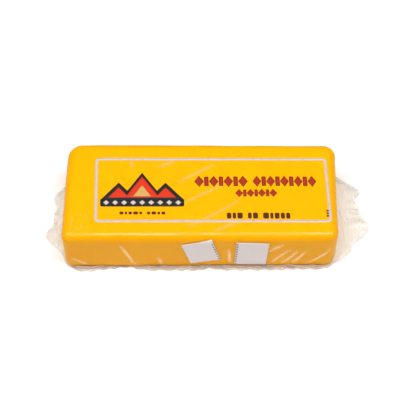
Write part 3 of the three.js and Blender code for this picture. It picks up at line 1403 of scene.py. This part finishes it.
@dataclass(frozen=True)
class Label:
    """A plain paper label on the front, over the film, with a column of small ticks along one edge."""

    bar: Bar
    name: str
    x: float
    z: float
    width: float
    height: float
    turn: float
    tick_side: float
    tick_pitch: float = 2.3
    tick_inset: float = 0.6
    tick_size: Triple = (0.9, 0.8, 0.25)
    off: float = 0.42
    thickness: float = 0.1
    ink_off: float = 0.01
    ink_thickness: float = 0.02
    side_steps: int = 24
    face_rows: int = 14

    def turned(self, places: Array) -> Array:
        """Places on the label, about its middle, as X and Z on the front."""
        angle = math.radians(self.turn)
        across, up = places[..., 0], places[..., 1]
        x = self.x + across * math.cos(angle) - up * math.sin(angle)
        z = self.z + across * math.sin(angle) + up * math.cos(angle)
        return np.stack([x, z], axis=-1)

    def rows(self) -> Array:
        """The paper: out over its face from the middle, over its edge and back behind, following the bar."""
        right, top = self.width / 2, self.height / 2
        outline = polygon([(-right, -top), (right, -top), (right, top), (-right, top)], self.side_steps)
        shares = np.linspace(0, 1, self.face_rows)
        lift = Lift(self.bar, self.off, self.off + self.thickness, Face.FRONT)
        return lift.sheet(self.turned(shares[:, None, None] * outline))

    def ticks(self) -> list[Array]:
        """Outlines of the ticks, evenly spaced up the label beside its edge."""
        x = self.tick_side * (self.width / 2 - self.tick_inset)
        half = self.height / 2 - self.tick_pitch / 2
        places = np.arange(-half, half, self.tick_pitch)
        return [self.turned(rounded_bar(x, place, *self.tick_size)) for place in places]

    def build(self, paper: Material, ink: Material) -> None:
        """Builds and dresses the label and its ticks."""
        sheet = loft(self.name + "_paper", self.rows())
        low = self.off + self.thickness + self.ink_off
        lift = Lift(self.bar, low, low + self.ink_thickness, Face.FRONT)
        ticks = plates(self.name + "_ticks", self.ticks(), lift)
        finish_piece(sheet, paper, Slot.PAPER, self.name)
        finish_piece(ticks, ink, Slot.PAPER)


# The studio


@dataclass(frozen=True)
class Softbox:
    """A rectangular studio light: its place and target, its size in metres and its power in watts."""

    name: str
    place: Triple
    size: Pair
    power: float
    target: Triple = (0.0, 0.0, 0.0)

    def build(self) -> None:
        """Adds the light to the scene."""
        lamp = bpy.data.lights.new(self.name, "AREA")
        lamp.shape = "RECTANGLE"
        lamp.size, lamp.size_y = self.size
        lamp.energy = self.power
        thing = bpy.data.objects.new(self.name, lamp)
        thing.location = self.place
        aim = np.array(self.target) - np.array(self.place)
        flat = math.hypot(aim[0], aim[1])
        thing.rotation_euler = (math.atan2(flat, -aim[2]), 0.0, math.atan2(-aim[0], aim[1]))
        bpy.context.scene.collection.objects.link(thing)


@dataclass(frozen=True)
class Studio:
    """A pale floor, soft light from above and a camera that looks down on the front of the bar."""

    elevation: float = 58.4
    distance: float = 626.2
    target: Triple = (3.64, 6.46, 0.0)
    focal_pixels: float = 1219.8
    image_pixels: float = 416.0
    sensor: float = 36.0
    nearest: float = 0.01
    floor_half: float = 8.0
    floor_drop: float = 0.1
    floor_finish: FloorFinish = FloorFinish()
    horizon: str = "#545454"
    horizon_height: float = 0.05
    zenith: str = "#303030"
    zenith_height: float = 0.7
    softbox: Softbox = Softbox("softbox_above", (0.0, -0.15, 1.0), (1.8, 0.5), 19.2)

    def camera(self) -> None:
        """Adds the camera at the photograph's viewing angle."""
        lens = bpy.data.cameras.new("camera")
        lens.sensor_width = self.sensor
        lens.lens = self.sensor * self.focal_pixels / self.image_pixels
        lens.clip_start = self.nearest
        thing = bpy.data.objects.new("camera", lens)
        angle = math.radians(self.elevation)
        away = np.array([0.0, -math.cos(angle), math.sin(angle)]) * self.distance
        thing.location = (np.array(self.target) + away) * MM
        thing.rotation_euler = (QUARTER - angle, 0.0, 0.0)
        bpy.context.scene.collection.objects.link(thing)
        bpy.context.scene.camera = thing

    def floor(self) -> None:
        """Adds the pale floor just under the bar."""
        half = self.floor_half / MM
        corners = np.array([(-half, -half), (half, -half), (half, half), (-half, half)])
        points = np.column_stack([corners, np.full(4, -self.floor_drop)])
        thing = mesh_object("floor", points, np.array([[0, 1, 2, 3]]))
        thing.data.materials.append(self.floor_finish.material())

    def world(self) -> None:
        """Sets a soft surround, bright at the horizon and dim overhead, so that flat film stays clear."""
        world = bpy.data.worlds.new("studio")
        world.use_nodes = True
        tree = world.node_tree
        tree.nodes.clear()
        direction = add(tree, "TexCoord").outputs["Generated"]
        height = add(tree, "SeparateXYZ", {0: direction}).outputs["Z"]
        limits = {0: height, 1: self.horizon_height, 2: self.zenith_height}
        share = add(tree, "MapRange", limits, interpolation_type="SMOOTHSTEP")
        greys = {0: share, 6: linear(self.horizon), 7: linear(self.zenith)}
        colour = add(tree, "Mix", greys, data_type="RGBA")
        light = add(tree, "Background", {"Color": colour, "Strength": 1.0})
        add(tree, "OutputWorld", {"Surface": light})
        bpy.context.scene.world = world

    def build(self) -> None:
        """Sets up camera, floor, light and colour."""
        self.camera()
        self.floor()
        self.world()
        self.softbox.build()
        view = bpy.context.scene.view_settings
        view.view_transform = "Standard"
        view.look = "None"


def main() -> None:
    """Builds the studio and every piece of the wrapped bar."""
    logging.basicConfig(level=logging.INFO, format="%(name)s: %(message)s")
    Studio().build()
    bar = Bar()
    folds = FoldSet(bar).folds()
    Cheese(bar, folds).build()
    Film(bar, Margin(bar), folds).build()
    Print(bar).build()
    paper = PaperFinish().material()
    ink = Ink.GREY.value.material()
    left = Label(bar, "label_left", x=0.3, z=15.5, width=15.3, height=18.4, turn=14.0, tick_side=1.0)
    left.build(paper, ink)
    right = Label(bar, "label_right", x=24.9, z=13.6, width=15.7, height=21.2, turn=-2.5, tick_side=-1.0)
    right.build(paper, ink)


if __name__ == "__main__":
    main()
